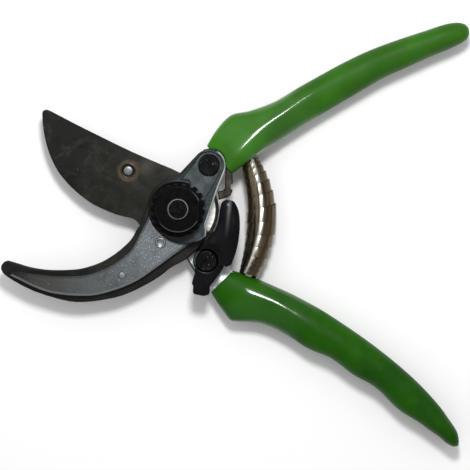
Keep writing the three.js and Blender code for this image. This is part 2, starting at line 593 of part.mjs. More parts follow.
function makeThumbCatch() {
  const { x, y, washerR, hubTop, play } = CATCH;
  const { low, padHigh, padR, lowR, riserR, riserLow, tailLow, tailHigh, tailChamfer } = CATCH_BODY;
  const shoulder = outline(arc(x, y, lowR, -75, 110, 14), vectors([[x - 1, y]]));
  const pad = join(rod(padR, low, padHigh, x, y), plate(shoulder, low, padHigh));
  const inLeaf = LEAF.low + 1;
  const wall = outline(arc(x, y, lowR, -8, 120, 14), arc(x, y, riserR, 120, -8, 12));
  const riser = plate(wall, riserLow, inLeaf);
  const leaf = plate(leafOutline(), LEAF.low, LEAF.high, LEAF.lowChamfer, LEAF.highChamfer);
  const tail = plate(tailOutline(), tailLow, tailHigh, LEAF.lowChamfer, tailChamfer);
  const a = THREE.MathUtils.degToRad(LUG.angle);
  const lug = rod(LUG.r, LUG.low, inLeaf, x + LUG.distance * Math.cos(a), y + LUG.distance * Math.sin(a), 20);
  const screwHole = hole(SCREW.shankR + GAP, x, y);
  const sink = rod(SCREW.headR + GAP, padHigh, THROUGH.high, x, y);
  place('thumb_catch', cut(join(pad, riser, leaf, tail, lug), screwHole, sink), FINISH.blackSteel);
  place('catch_screw', slottedScrew(x, y, CATCH_SCREW), FINISH.blackSteel);
  place('catch_washer', cut(rod(washerR, hubTop + play, low - play, x, y), screwHole), FINISH.brightSteel);
}

// ---------------------------------------------------------------- assembly

makeHookForging();
makeCounterBlade();
makeUpperGrip();
makePivot();
makeLockSegment();
makeCatchKeeper();
makeSpring();
makeBladeForging();
makeCuttingBlade();
makeLowerGrip();
makeThumbCatch();

export default group;
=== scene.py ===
"""Pruning shears, open and lying flat: fine meshes and procedural finishes around the CAD frame."""
import json
import math

import bmesh
import bpy
import numpy as np
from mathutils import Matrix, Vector


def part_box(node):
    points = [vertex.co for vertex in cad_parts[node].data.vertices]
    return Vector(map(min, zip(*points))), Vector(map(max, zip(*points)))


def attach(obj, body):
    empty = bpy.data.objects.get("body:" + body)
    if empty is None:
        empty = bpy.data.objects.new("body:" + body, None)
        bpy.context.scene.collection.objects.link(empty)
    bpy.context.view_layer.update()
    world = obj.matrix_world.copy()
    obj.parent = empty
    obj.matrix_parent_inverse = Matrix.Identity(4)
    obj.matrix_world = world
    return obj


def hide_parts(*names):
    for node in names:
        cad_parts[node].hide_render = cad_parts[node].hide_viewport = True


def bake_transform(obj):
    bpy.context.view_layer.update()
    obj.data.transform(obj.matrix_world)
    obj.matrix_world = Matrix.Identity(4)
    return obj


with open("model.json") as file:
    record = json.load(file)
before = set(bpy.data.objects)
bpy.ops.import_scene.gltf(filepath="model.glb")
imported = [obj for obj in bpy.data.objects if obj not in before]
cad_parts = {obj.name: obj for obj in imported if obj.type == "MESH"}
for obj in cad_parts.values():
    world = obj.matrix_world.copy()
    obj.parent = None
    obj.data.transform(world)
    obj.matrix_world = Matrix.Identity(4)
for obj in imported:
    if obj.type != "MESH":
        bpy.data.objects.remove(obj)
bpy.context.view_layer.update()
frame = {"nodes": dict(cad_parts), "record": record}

MM = 0.001
NODES = frame["nodes"]


def srgb(r, g, b):
    """A colour given as 0-255 sRGB, as linear RGBA."""
    def linear(value):
        c = value / 255
        return c / 12.92 if c <= 0.04045 else ((c + 0.055) / 1.055) ** 2.4
    return (linear(r), linear(g), linear(b), 1.0)


# ---------------------------------------------------------------- material helpers

class Finish:
    """A procedural material: a Principled shader and short calls for the nodes that feed it."""

    def __init__(self, name, **values):
        self.material = bpy.data.materials.new(name)
        self.material.use_nodes = True
        self.tree = self.material.node_tree
        self.shader = self.tree.nodes["Principled BSDF"]
        self.place = self.tree.nodes.new("ShaderNodeTexCoord").outputs["Object"]
        for socket, value in values.items():
            self.shader.inputs[socket.replace("_", " ")].default_value = value

    def node(self, kind, inputs=None, **settings):
        made = self.tree.nodes.new("ShaderNode" + kind)
        for key, value in settings.items():
            setattr(made, key, value)
        for socket, value in (inputs or {}).items():
            self.feed(made.inputs[socket], value)
        return made

    def feed(self, socket, value):
        if isinstance(value, bpy.types.NodeSocket):
            self.tree.links.new(value, socket)
        else:
            socket.default_value = value

    def stretched(self, scale, turn=0.0):
        """The object's own coordinates, turned about Z and scaled."""
        made = self.node("Mapping", {"Vector": self.place})
        made.inputs["Rotation"].default_value = (0, 0, turn)
        made.inputs["Scale"].default_value = scale
        return made.outputs["Vector"]

    def noise(self, scale, detail=4.0, rough=0.55, distort=0.0, at=None):
        made = self.node("TexNoise", {
            "Vector": at or self.place, "Scale": scale, "Detail": detail, "Roughness": rough,
            "Distortion": distort})
        return made.outputs["Fac"]

    def cells(self, scale):
        """The distance to the nearest of many scattered points."""
        return self.node("TexVoronoi", {"Vector": self.place, "Scale": scale}).outputs["Distance"]

    def tones(self, scale, at=None):
        """A random value from 0 to 1 for each of many small cells."""
        color = self.node("TexVoronoi", {"Vector": at or self.place, "Scale": scale}).outputs["Color"]
        return self.node("SeparateColor", {"Color": color}).outputs["Red"]

    def band(self, value, low, high, out_low=0.0, out_high=1.0):
        """Maps value from low..high to out_low..out_high, smoothly, and clamps it."""
        made = self.node("MapRange", {
            "Value": value, "From Min": low, "From Max": high, "To Min": out_low, "To Max": out_high},
            interpolation_type="SMOOTHSTEP")
        return made.outputs["Result"]

    def math(self, operation, a, b=0.0):
        made = self.node("Math", operation=operation)
        self.feed(made.inputs[0], a)
        self.feed(made.inputs[1], b)
        return made.outputs["Value"]

    def times(self, first, *others):
        for other in others:
            first = self.math("MULTIPLY", first, other)
        return first

    def mix(self, factor, a, b):
        made = self.node("Mix", data_type="RGBA")
        self.feed(made.inputs["Factor"], factor)
        self.feed(made.inputs[6], a)
        self.feed(made.inputs[7], b)
        return made.outputs[2]

    def toward(self, base, color, value, low, high, share=1.0):
        """The base, mixed with a share of the colour that grows from none as value goes from low to high."""
        return self.mix(self.band(value, low, high, 0, share), base, color)

    def fading(self, base, color, value, low, high, share=1.0):
        """The base, mixed with a share of the colour that falls to none as value goes from low to high."""
        return self.mix(self.band(value, low, high, share, 0), base, color)

    def distance_from(self, x, y, z):
        """Distance in metres from a point of the object."""
        made = self.node("VectorMath", {0: self.place, 1: (x, y, z)}, operation="DISTANCE")
        return made.outputs["Value"]

    def part(self, axis):
        """One of the object's own coordinates, in metres."""
        return self.node("SeparateXYZ", {"Vector": self.place}).outputs[axis]

    def facing(self, axis):
        """How far the surface faces along one of the object's own axes, from -1 to 1."""
        normal = self.node("TexCoord").outputs["Normal"]
        return self.node("SeparateXYZ", {"Vector": normal}).outputs[axis]

    def level(self):
        """How flat the surface lies, up or down: 0 on a side wall and 1 on a top or a bottom."""
        return self.math("ABSOLUTE", self.facing("Z"))

    def gap(self, value, middle):
        """How far a value is from a middle one."""
        return self.math("ABSOLUTE", self.math("SUBTRACT", value, middle))

    def wavy(self, value, noise, depth):
        """A value that wanders by up to depth."""
        return self.math("ADD", value, self.times(noise, depth))

    def radius(self):
        """Distance in metres from the pivot's axis."""
        x, y = self.part("X"), self.part("Y")
        return self.math("SQRT", self.math("ADD", self.times(x, x), self.times(y, y)))

    def bump(self, *layers):
        """Stacks bump layers, each (height, strength, depth in metres), onto the shader's normal."""
        normal = None
        for height, strength, depth in layers:
            made = self.node("Bump", {"Height": height, "Strength": strength, "Distance": depth})
            if normal is not None:
                self.feed(made.inputs["Normal"], normal)
            normal = made.outputs["Normal"]
        self.feed(self.shader.inputs["Normal"], normal)

    def color(self, value):
        self.feed(self.shader.inputs["Base Color"], value)

    def roughness(self, value):
        self.feed(self.shader.inputs["Roughness"], value)

    def patchy(self, scale, detail, smooth, rough):
        """A roughness that drifts between two values."""
        return self.band(self.noise(scale, detail), 0.3, 0.7, smooth, rough)


# ---------------------------------------------------------------- materials

# Places on the object that finishes change at, in metres. A pair is where a change starts and ends.
ARM_ROOT = (-0.004, -0.016, 0.016)
NUT_SHADE = (-0.0022, -0.0018, 0.018)
NECK_SHADE = (0.0115, -0.0125, 0.0095)
PLATE_Z = (0.0164, 0.0169)
PLATE_RIM_Z = (0.0169, 0.0172)
POCKET_R = (0.0121, 0.0123)
EYE_R, EYE_RIM_R = (0.0151, 0.0153), (0.0170, 0.0174)
EYE_Z = (0.0066, 0.0069)
EYE_RIM_Y = (-0.013, -0.009)
HUB_TOP, HUB_Z, HUB_SHADE_R = 0.0133, (0.0118, 0.0122), (0.0057, 0.0061)
NUT_CROWN_Z = (0.0186, 0.019)
BOLT_RIM_R = (0.0039, 0.0041)
SCREW_HEAD_R = (0.0036, 0.004)
LEAF_TOP_Z, LEAF_TIP_Y = (0.0195, 0.0205), (-0.012, 0.002)
GLOSS_RISE, GLOSS_END = 0.004, (0.062, 0.074)
VINYL_SHADE_Z = (0.0008, 0.0075)
# A painted highlight runs along the catch's leaf, on the line where x + LEAF_SLANT * y equals the first value
# below.
LEAF_HIGHLIGHT_LINE, LEAF_SLANT = 0.0208, -0.036
# The spring's middle line runs where x + SPRING_BOW * (y + SPRING_WAIST) squared stays the same.
SPRING_BOW, SPRING_WAIST, SPRING_CROWN = 9.8, 0.001, 0.0342


def middle_of(node):
    """The middle of a node's box, in metres."""
    low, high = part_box(node)
    return (low + high) / 2


def top_of(node):
    """The middle of a node's top, in metres."""
    x, y, _ = middle_of(node)
    return x, y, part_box(node)[1][2]


def make_vinyl(name, dark, light, gloss_start):
    """Dipped vinyl: drifting colour, orange peel and handling marks, painted shade towards the bottom, glossy
    on the half near the pivot.
    """
    f = Finish(name, Specular_IOR_Level=0.1, Coat_Roughness=0.075)
    base = f.toward(dark, light, f.noise(38, 3), 0.35, 0.68)
    base = f.toward(base, srgb(58, 112, 12), f.noise(260, 5, 0.65), 0.5, 0.78, 0.15)
    specks = f.band(f.cells(900), 0.0, 0.16, 1, 0)
    rare = f.band(f.noise(420, 2), 0.6, 0.72)
    base = f.mix(f.times(specks, rare, 0.35), base, srgb(16, 42, 4))
    # Painted shade: the colour darkens towards the bottom of the grip.
    f.color(f.fading(base, srgb(9, 22, 4), f.part("Z"), *VINYL_SHADE_Z, 0.72))
    smear = f.band(f.noise(70, 4, 0.6, 0.6), 0.3, 0.75, 0.18, 0.3)
    rub = f.noise(1.0, 3, 0.5, at=f.stretched((180, 1500, 180), math.radians(-35)))
    wear_and_edge_highlight = f.math("ADD", smear, f.band(rub, 0.62, 0.8, 0, 0.1))
    away = f.radius()
    gloss = f.times(f.band(away, gloss_start, gloss_start + GLOSS_RISE), f.band(away, *GLOSS_END, 1, 0))
    f.roughness(f.math("ADD", wear_and_edge_highlight, f.times(f.math("SUBTRACT", 1.0, gloss), 0.25)))
    f.feed(f.shader.inputs["Coat Weight"], f.times(gloss, 0.42))
    f.bump((f.noise(420, 3, 0.5), 0.13, 0.00012), (f.noise(2600, 3, 0.6), 0.03, 0.00004))
    return f.material


def cast_skin(f, base, bright=0.4):
    """Fine bright and dark specks of a tumbled casting, and painted shade on its side walls."""
    tone = f.tones(2600)
    clusters = f.times(f.band(f.noise(620, 3, 0.6), 0.38, 0.62, 0.25, 1), bright)
    base = f.mix(f.times(f.band(tone, 0.86, 1.0), clusters), base, srgb(206, 210, 214))
    base = f.fading(base, srgb(44, 47, 49), tone, 0.0, 0.25, 0.24)
    base = f.fading(base, srgb(52, 55, 57), f.noise(3000, 3, 0.7), 0.3, 0.7, 0.3)
    # Painted shade: the side walls are darkened.
    return f.fading(base, srgb(20, 20, 19), f.level(), 0.25, 0.62, 0.85)


def hook_arm_skin(f):
    """The hook arm: grey and speckled near the pivot, darker to the tip, with a painted highlight along its
    lower edge.
    """
    far = f.distance_from(*ARM_ROOT)
    arm = f.toward(srgb(108, 115, 119), srgb(88, 93, 94), far, 0.002, 0.03)
    arm = f.toward(arm, srgb(66, 66, 61), far, 0.028, 0.054)
    arm = f.toward(arm, srgb(28, 27, 24), far, 0.052, 0.063)
    arm = f.toward(arm, srgb(66, 70, 73), f.noise(150, 5, 0.62), 0.45, 0.72, 0.5)
    # Painted highlight: the slanted faces along the arm's lower edge are lightened.
    lower_edge_highlight = f.times(f.band(f.facing("Y"), -0.62, -0.4, 1, 0), f.band(f.facing("Z"), 0.4, 0.6))
    arm = f.mix(f.times(lower_edge_highlight, 0.5), arm, srgb(160, 164, 166))
    return cast_skin(f, arm, f.band(far, 0.01, 0.036, 0.55, 0.08))


def hook_plate_skin(f):
    """The plate round the nut: brushed blue-grey, with a painted shadow round the nut, a painted highlight on
    its right edge and painted shade on its side walls.
    """
    lines = f.noise(1.0, 4, 0.6, at=f.stretched((200, 2400, 200), math.radians(-62)))
    plate = f.toward(srgb(36, 43, 44), srgb(56, 64, 66), lines, 0.4, 0.7)
    plate = f.toward(plate, srgb(70, 78, 82), f.noise(240, 4, 0.6), 0.5, 0.7, 0.4)
    # Painted shadow: darker round the nut, most to its lower left.
    painted_shadow = f.wavy(f.distance_from(*NUT_SHADE), f.noise(300, 4), 0.0016)
    plate = f.fading(plate, srgb(12, 12, 10), painted_shadow, 0.0126, 0.0148, 0.93)
    # Painted highlight: the slanted rim faces on the plate's right are lightened.
    slanted = f.times(f.band(f.facing("X"), 0.25, 0.42), f.band(f.facing("Z"), 0.3, 0.45))
    wear_and_edge_highlight = f.times(slanted, f.band(f.part("Z"), *PLATE_RIM_Z), 0.95)
    plate = f.mix(wear_and_edge_highlight, plate, srgb(226, 231, 233))
    # Painted shade: the side walls are darkened.
    return f.fading(plate, srgb(12, 12, 11), f.level(), 0.2, 0.4, 0.9)


def make_hook_forging():
    f = Finish("hook_forging", Metallic=0.85)
    on_plate = f.math("MAXIMUM", f.band(f.part("Z"), *PLATE_Z), f.band(f.radius(), *POCKET_R, 1, 0))
    f.color(f.mix(on_plate, hook_arm_skin(f), hook_plate_skin(f)))
    f.roughness(f.patchy(900, 3, 0.36, 0.56))
    f.bump((f.noise(2200, 4, 0.65), 0.28, 0.00008), (f.cells(2300), 0.15, 0.00004))
    return f.material


def make_blade_forging():
    """The blade's forging: a bright speckled neck, a polished eye face with a brown rim, painted shade on its
    left-facing edge and on the hub under the catch, and a painted shadow by the catch.
    """
    f = Finish("blade_forging", Metallic=0.9)
    skin = cast_skin(f, srgb(206, 211, 214))
    eye = f.radius()
    face = f.times(f.band(eye, *EYE_R, 1, 0), f.band(f.part("Z"), *EYE_Z))
    skin = f.mix(face, skin, srgb(250, 250, 248))
    rim = f.times(f.band(eye, *EYE_R), f.band(eye, *EYE_RIM_R, 1, 0), f.band(f.part("Y"), *EYE_RIM_Y))
    skin = f.mix(f.times(rim, 0.9), skin, srgb(62, 55, 45))
    # Painted shade: the faces turned to the left are darkened.
    left_edge_shade = f.times(f.band(f.facing("X"), -0.5, -0.25, 1, 0), f.band(f.facing("Z"), 0.9, 0.8))
    skin = f.mix(f.times(left_edge_shade, 0.9), skin, srgb(26, 26, 25))
    # Painted shadow: darker by the catch, below the eye.
    painted_shadow = f.wavy(f.distance_from(*NECK_SHADE), f.noise(260, 4), 0.0018)
    skin = f.fading(skin, srgb(11, 11, 10), painted_shadow, 0.0058, 0.0078, 0.95)
    # Painted shade: the hub under the catch is darkened.
    x, y, _ = middle_of("catch_screw")
    catch_shade = f.band(f.distance_from(x, y, HUB_TOP), *HUB_SHADE_R, 0.92, 0)
    hub_shade = f.times(catch_shade, f.band(f.part("Z"), *HUB_Z))
    f.color(f.mix(hub_shade, skin, srgb(16, 16, 16)))
    f.roughness(f.math("SUBTRACT", f.patchy(900, 3, 0.34, 0.52), f.times(face, 0.14)))
    grain = f.times(f.noise(2200, 4, 0.65), f.math("SUBTRACT", 1.0, face))
    f.bump((grain, 0.3, 0.00008), (f.noise(1500, 3), 0.05, 0.00003))
    return f.material


def make_blade_steel():
    """Dark oiled blade: olive gunmetal, stains, grinding lines, pits, and a halo round the rivet."""
    f = Finish("blade_steel", Metallic=0.7)
    steel = f.toward(srgb(21, 21, 16), srgb(40, 39, 33), f.noise(45, 5, 0.6), 0.35, 0.68)
    steel = f.toward(steel, srgb(5, 5, 3), f.radius(), 0.018, 0.05, 0.95)
    steel = f.toward(steel, srgb(50, 47, 38), f.noise(95, 6, 0.68, 1.2), 0.52, 0.66, 0.45)
    lines = f.noise(1.0, 4, 0.6, at=f.stretched((90, 2600, 90), math.radians(24)))
    steel = f.toward(steel, srgb(46, 45, 39), lines, 0.5, 0.8, 0.28)
    pits = f.band(f.cells(420), 0.0, 0.13, 1, 0)
    some = f.band(f.noise(160, 2), 0.56, 0.64)
    steel = f.mix(f.times(pits, some, 0.85), steel, srgb(110, 108, 102))
    x, y, z = middle_of("blade_rivet")
    near = f.wavy(f.distance_from(x, y, z), f.noise(260, 3), 0.0022)
    halo = f.times(f.band(near, 0.0042, 0.0052), f.band(near, 0.0058, 0.0074, 1, 0), 0.6)
    steel = f.mix(halo, steel, srgb(88, 76, 62))
    patch = f.wavy(f.distance_from(x + 0.0065, y + 0.0028, z), f.noise(180, 4), 0.005)
    f.color(f.fading(steel, srgb(86, 80, 70), patch, 0.0035, 0.0085, 0.6))
    f.roughness(f.band(f.noise(140, 5, 0.65), 0.3, 0.7, 0.26, 0.4))
    f.bump((lines, 0.12, 0.00003), (f.noise(900, 4, 0.6), 0.15, 0.00005))
    return f.material


def make_counter_steel():
    """Near-black counter blade with faint brushing and rubbed patches."""
    f = Finish("counter_steel", Metallic=0.7)
    steel = f.toward(srgb(16, 16, 14), srgb(32, 32, 28), f.noise(60, 5), 0.35, 0.7)
    lines = f.noise(1.0, 4, 0.6, at=f.stretched((120, 2200, 120), math.radians(-20)))
    f.color(f.toward(steel, srgb(56, 55, 50), lines, 0.5, 0.8, 0.3))
    f.roughness(f.patchy(170, 4, 0.26, 0.4))
    f.bump((lines, 0.1, 0.00003), (f.noise(1100, 4), 0.15, 0.00005))
    return f.material


def make_black_steel():
    """Semi-gloss blackened steel: rubbed spots, painted glint streaks on the screw heads, and a painted
    highlight along the leaf.
    """
    f = Finish("black_steel", Specular_IOR_Level=0.12)
    black = f.toward(srgb(3, 3, 4), srgb(9, 10, 13), f.noise(90, 4), 0.35, 0.7)
    black = f.toward(black, srgb(30, 32, 34), f.noise(520, 5, 0.7), 0.62, 0.78, 0.3)
    # Painted glints: light streaks on the two screw heads.
    streak = f.tones(1.0, at=f.stretched((2800, 1300, 2800), math.radians(10)))
    to_heads = [f.distance_from(*top_of(node)) for node in ("segment_screw", "catch_screw")]
    head_glints = f.band(f.math("MINIMUM", *to_heads), *SCREW_HEAD_R, 1, 0)
    head_glints = f.times(head_glints, f.band(streak, 0.93, 0.98), 0.4)
    black = f.mix(head_glints, black, srgb(120, 122, 124))
    # Painted highlight: a light line along the top of the catch's leaf.
    across = f.math("ADD", f.part("X"), f.times(f.part("Y"), LEAF_SLANT))
    leaf_highlight = f.times(f.band(f.gap(across, LEAF_HIGHLIGHT_LINE), 0.0, 0.0012, 1, 0), f.band(f.part("Z"), *LEAF_TOP_Z))
    leaf_highlight = f.times(leaf_highlight, f.band(f.part("Y"), *LEAF_TIP_Y, 0, 0.6))
    f.color(f.mix(leaf_highlight, black, srgb(92, 95, 100)))
    f.roughness(f.patchy(240, 4, 0.2, 0.3))
    f.bump((f.noise(1700, 4, 0.6), 0.12, 0.00004))
    return f.material


def make_nut_steel():
    """The turned nut: black, with fine turning rings round the bolt and painted highlights on its corners on
    two sides.
    """
    f = Finish("nut_steel", Specular_IOR_Level=0.06)
    rings = f.math("SINE", f.times(f.radius(), 11000))
    black = f.toward(srgb(2, 2, 2), srgb(8, 8, 7), f.noise(180, 4), 0.35, 0.7)
    black = f.toward(black, srgb(24, 24, 22), rings, 0.2, 1.0, 0.15)
    # Painted highlight: the slanted faces at the top corners that turn right or down are lightened.
    tilt = f.level()
    corner_highlight = f.times(f.band(tilt, 0.3, 0.5), f.band(tilt, 0.8, 0.9, 1, 0))
    side = f.math("MAXIMUM", f.band(f.facing("X"), 0.3, 0.6), f.band(f.facing("Y"), -0.6, -0.4, 1, 0))
    corner_highlight = f.times(corner_highlight, side, f.band(f.part("Z"), *NUT_CROWN_Z), 0.7)
    f.color(f.mix(corner_highlight, black, srgb(96, 98, 97)))
    f.roughness(f.patchy(420, 4, 0.2, 0.32))
    f.bump((rings, 0.08, 0.00003), (f.noise(1700, 4, 0.6), 0.12, 0.00005))
    return f.material


def make_bright_steel():
    """Bright plated steel for the studs and the washer, lightly scratched."""
    f = Finish("bright_steel", Metallic=0.95)
    f.color(f.toward(srgb(176, 179, 181), srgb(112, 115, 117), f.noise(500, 4), 0.35, 0.7))
    f.roughness(f.patchy(900, 3, 0.2, 0.36))
    f.bump((f.noise(1.0, 3, at=f.stretched((300, 3500, 300), 0.7)), 0.12, 0.00003))
    return f.material


def make_flush_rivet(at, inner, outer):
    """A flush rivet: a rubbed bright head, a black groove round it, and a dull land outside."""
    f = Finish("flush_rivet_steel", Metallic=0.85)
    from_middle = f.distance_from(*at)
    bright = f.toward(srgb(128, 130, 130), srgb(84, 86, 86), f.noise(900, 4), 0.35, 0.7)
    land = f.toward(srgb(58, 52, 44), srgb(38, 35, 30), f.noise(500, 4), 0.35, 0.7)
    head = f.toward(bright, srgb(8, 8, 7), from_middle, inner, inner + 0.0001)
    f.color(f.toward(head, land, from_middle, outer, outer + 0.0001))
    f.roughness(f.patchy(900, 3, 0.26, 0.42))
    f.bump((f.noise(1700, 4, 0.6), 0.25, 0.00006))
    return f.material


def make_bolt_end():
    """The bolt: its end is blackened, with a painted highlight on its rim."""
    f = Finish("pivot_bolt_steel", Metallic=0.3, Specular_IOR_Level=0.05)
    dark = f.toward(srgb(4, 4, 3), srgb(26, 26, 24), f.noise(700, 5, 0.7), 0.4, 0.75)
    # Painted highlight: a light ring at the rim of the bolt end.
    f.color(f.toward(dark, srgb(150, 152, 150), f.wavy(f.radius(), f.noise(500, 3), 0.0003), *BOLT_RIM_R))
    f.roughness(f.patchy(800, 3, 0.35, 0.55))
    f.bump((f.noise(1600, 4, 0.6), 0.3, 0.00008))
    return f.material


def make_dull_steel():
    """The hook's rivets, ground with the forging: a little brighter than the metal round them."""
    f = Finish("dull_rivet_steel", Metallic=0.85)
    f.color(f.toward(srgb(136, 140, 142), srgb(88, 92, 94), f.noise(900, 4), 0.35, 0.7))
    f.roughness(f.patchy(900, 3, 0.3, 0.46))
    f.bump((f.noise(1700, 4, 0.6), 0.25, 0.00006))
    return f.material


def make_spring_steel():
    """Oiled strip, brushed lengthwise: a painted highlight along its crown, brown outside, and painted light
    making its inner side paler.
    """
    f = Finish("spring_steel", Metallic=0.95, Anisotropic=0.75, Anisotropic_Rotation=0.25)
    round_y = f.node("Tangent", direction_type="RADIAL", axis="Y")
    f.feed(f.shader.inputs["Tangent"], round_y.outputs["Tangent"])
    away = f.math("ADD", f.part("Y"), SPRING_WAIST)
    across = f.math("ADD", f.part("X"), f.times(away, away, SPRING_BOW))
    drawn = f.node("CombineXYZ", {"X": across, "Y": f.times(f.part("Y"), 0.03), "Z": f.part("Z")})
    along = drawn.outputs["Vector"]
    streak = f.noise(900, 4, 0.6, at=along)
    steel = f.toward(srgb(50, 46, 38), srgb(112, 106, 94), streak, 0.36, 0.66)
    steel = f.toward(steel, srgb(82, 74, 62), f.noise(260, 3, 0.5, at=along), 0.45, 0.62, 0.45)
    # Painted light: the inner side of the spring is made paler.
    steel = f.fading(steel, srgb(150, 134, 108), across, 0.0312, 0.0336, 0.6)
    brown = f.times(f.band(across, 0.0352, 0.0368), f.band(across, 0.0385, 0.0400, 1, 0), 0.55)
    steel = f.mix(brown, steel, srgb(88, 66, 42))
    # Painted highlight: a near-white line along the spring's crown.
    steel = f.fading(steel, srgb(240, 238, 232), f.gap(across, SPRING_CROWN), 0.0, 0.001, 0.8)
    f.color(f.toward(steel, srgb(90, 70, 48), f.noise(300, 5, 0.65, 0.8), 0.62, 0.76, 0.3))
    f.roughness(f.band(streak, 0.3, 0.7, 0.22, 0.36))
    f.bump((streak, 0.12, 0.00003), (f.noise(1500, 3, 0.6), 0.1, 0.00003))
    return f.material


def make_segment_steel():
    """Dull sintered grey of the locking segment, with painted shade on its side walls."""
    f = Finish("segment_steel", Metallic=0.8)
    base = f.toward(srgb(46, 53, 54), srgb(68, 75, 77), f.noise(260, 5, 0.65), 0.35, 0.7)
    base = f.toward(base, srgb(40, 43, 45), f.noise(700, 4), 0.56, 0.7, 0.5)
    # Painted shade: the side walls are darkened.
    f.color(f.fading(base, srgb(16, 16, 15), f.level(), 0.25, 0.62, 0.8))
    f.roughness(f.patchy(600, 3, 0.36, 0.56))
    f.bump((f.noise(1500, 4, 0.65), 0.4, 0.0001))
    return f.material


def make_keeper_steel():
    """Brown-black flat bar with painted shade on its edges."""
    f = Finish("keeper_steel", Metallic=0.8)
    base = f.toward(srgb(36, 33, 28), srgb(72, 67, 58), f.noise(240, 5, 0.6), 0.35, 0.7)
    # Painted shade: the bar's edges are darkened.
    f.color(f.fading(base, srgb(12, 11, 9), f.level(), 0.75, 0.97, 0.85))
    f.roughness(f.patchy(300, 4, 0.28, 0.46))
    f.bump((f.noise(1500, 4), 0.25, 0.00006))
    return f.material


FINISHES = {
    "forged_aluminium": make_hook_forging(),
    "blade_steel": make_blade_steel(),
    "counter_steel": make_counter_steel(),
    "green_vinyl": make_vinyl("green_vinyl", srgb(42, 88, 18), srgb(50, 110, 20), 0.032),
    "black_steel": make_black_steel(),
    "bright_steel": make_bright_steel(),
    "spring_steel": make_spring_steel(),
    "segment_steel": make_segment_steel(),
}
# Painted light and shade: the lower grip's vinyl is a darker copy of the upper grip's, one vinyl in a lit and
# a shaded tone.
SHADED_LOWER_VINYL = make_vinyl("green_vinyl_lower_shaded", srgb(20, 66, 0), srgb(30, 84, 0), 0.042)
SLOT_OF = {part["node"]: part["material_slot"] for part in frame["record"]["subparts"]}
BODY_OF = {node: body for body, nodes in frame["record"]["behaviour"]["bodies"].items() for node in nodes}


# ---------------------------------------------------------------- mesh helpers

def shown(name, mesh, material):
    """An object in the scene for a mesh, smooth and in one material."""
    mesh.materials.clear()
    mesh.materials.append(material)
    for face in mesh.polygons:
        face.use_smooth = True
        face.material_index = 0
    piece = bpy.data.objects.new(name, mesh)
    bpy.context.scene.collection.objects.link(piece)
    return piece


def tube(name, rings, material):
    """A closed tube through rings of points in metres; every ring has the same number of points."""
    sides = len(rings[0])
    verts = [tuple(p) for ring in rings for p in ring]
    last = len(verts) - sides
    faces = []
    for start in range(0, last, sides):
        for k in range(sides):
            a, b = start + k, start + (k + 1) % sides
            faces.append((a, b, b + sides, a + sides))
    faces.append(tuple(reversed(range(sides))))
    faces.append(tuple(range(last, last + sides)))
    mesh = bpy.data.meshes.new(name)
    mesh.from_pydata(verts, [], faces)
    mesh.validate()
    work = bmesh.new()
    work.from_mesh(mesh)
    bmesh.ops.recalc_face_normals(work, faces=work.faces)
    work.to_mesh(mesh)
    work.free()
    return shown(name, mesh, material)


def settle(piece, node):
    """Puts a finished piece in place of a CAD node, on the node's body."""
    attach(piece, BODY_OF[node])
    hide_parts(node)


WELD = 0.000002  # metres
FLAT_ANGLE, EDGE_ANGLE = math.radians(1.2), math.radians(28)
EDGE_SEGMENTS = 3


def machined(node, width, material=None):
    """A machined or pressed piece: the CAD solid's faces joined up, its sharp edges rounded over width mm."""
    mesh = NODES[node].data.copy()
    mesh.name = node + "_fine"
    work = bmesh.new()
    work.from_mesh(mesh)
    bmesh.ops.remove_doubles(work, verts=work.verts, dist=WELD)
    bmesh.ops.dissolve_limit(work, angle_limit=FLAT_ANGLE, verts=work.verts, edges=work.edges)
    work.to_mesh(mesh)
    work.free()
    if "custom_normal" in mesh.attributes:
        mesh.attributes.remove(mesh.attributes["custom_normal"])
    piece = shown(node + "_fine", mesh, material or FINISHES[SLOT_OF[node]])
    bevel = piece.modifiers.new("edges", "BEVEL")
    bevel.width = width * MM
    bevel.segments = EDGE_SEGMENTS
    bevel.limit_method = "ANGLE"
    bevel.angle_limit = EDGE_ANGLE
    bevel.harden_normals = True
    bevel.use_clamp_overlap = True
    bevel.miter_outer = "MITER_ARC"
    settle(piece, node)


# ---------------------------------------------------------------- grips

# Each rib: outer edge, inner edge, lowest and highest point (mm), where the crest lies across the
# section (-1 inner edge, 1 outer edge), and how sharp the crest is.
UPPER_RIBS = [
    ((9.6, 26.9), (20.8, 16.2), 3.4, 18, -0.5, 0.7),
    ((13.4, 34.4), (25.4, 20.4), 2, 18.4, -0.52, 1.0),
    ((18.6, 40.4), (31, 24.9), 1, 17.9, -0.42, 1.0),
    ((26.1, 42.8), (38, 30.4), 0.4, 17.1, -0.12, 1.0),
    ((35.6, 47.2), (46.2, 36.7), 0, 16.5, 0.08, 0.8),
    ((44.4, 53.3), (54.1, 42.6), 0, 16.2, 0.15, 0.5),
    ((53.8, 59.6), (62.6, 48.6), 0, 16, 0.1, 0.3),
    ((63.2, 65.7), (71.1, 54.6), 0, 16, 0, 0.15),
    ((73.2, 71.4), (80, 60.7), 0, 16, 0, 0.1),
    ((84.3, 76.6), (89.9, 66.2), 0.1, 15.8, 0, 0.1),
    ((94.6, 80.9), (99, 71.2), 0.3, 15.5, 0, 0.1),
    ((103, 84.4), (106, 74.7), 0.6, 15.2, 0, 0.1),
    ((108, 85.6), (110.4, 77.2), 1.4, 14.4, 0, 0.1),
    ((111.1, 85.3), (112.6, 79), 2.9, 13.1, 0, 0.1),
    ((112.6, 84.3), (113.4, 80.6), 4.9, 11.1, 0, 0.1),
]
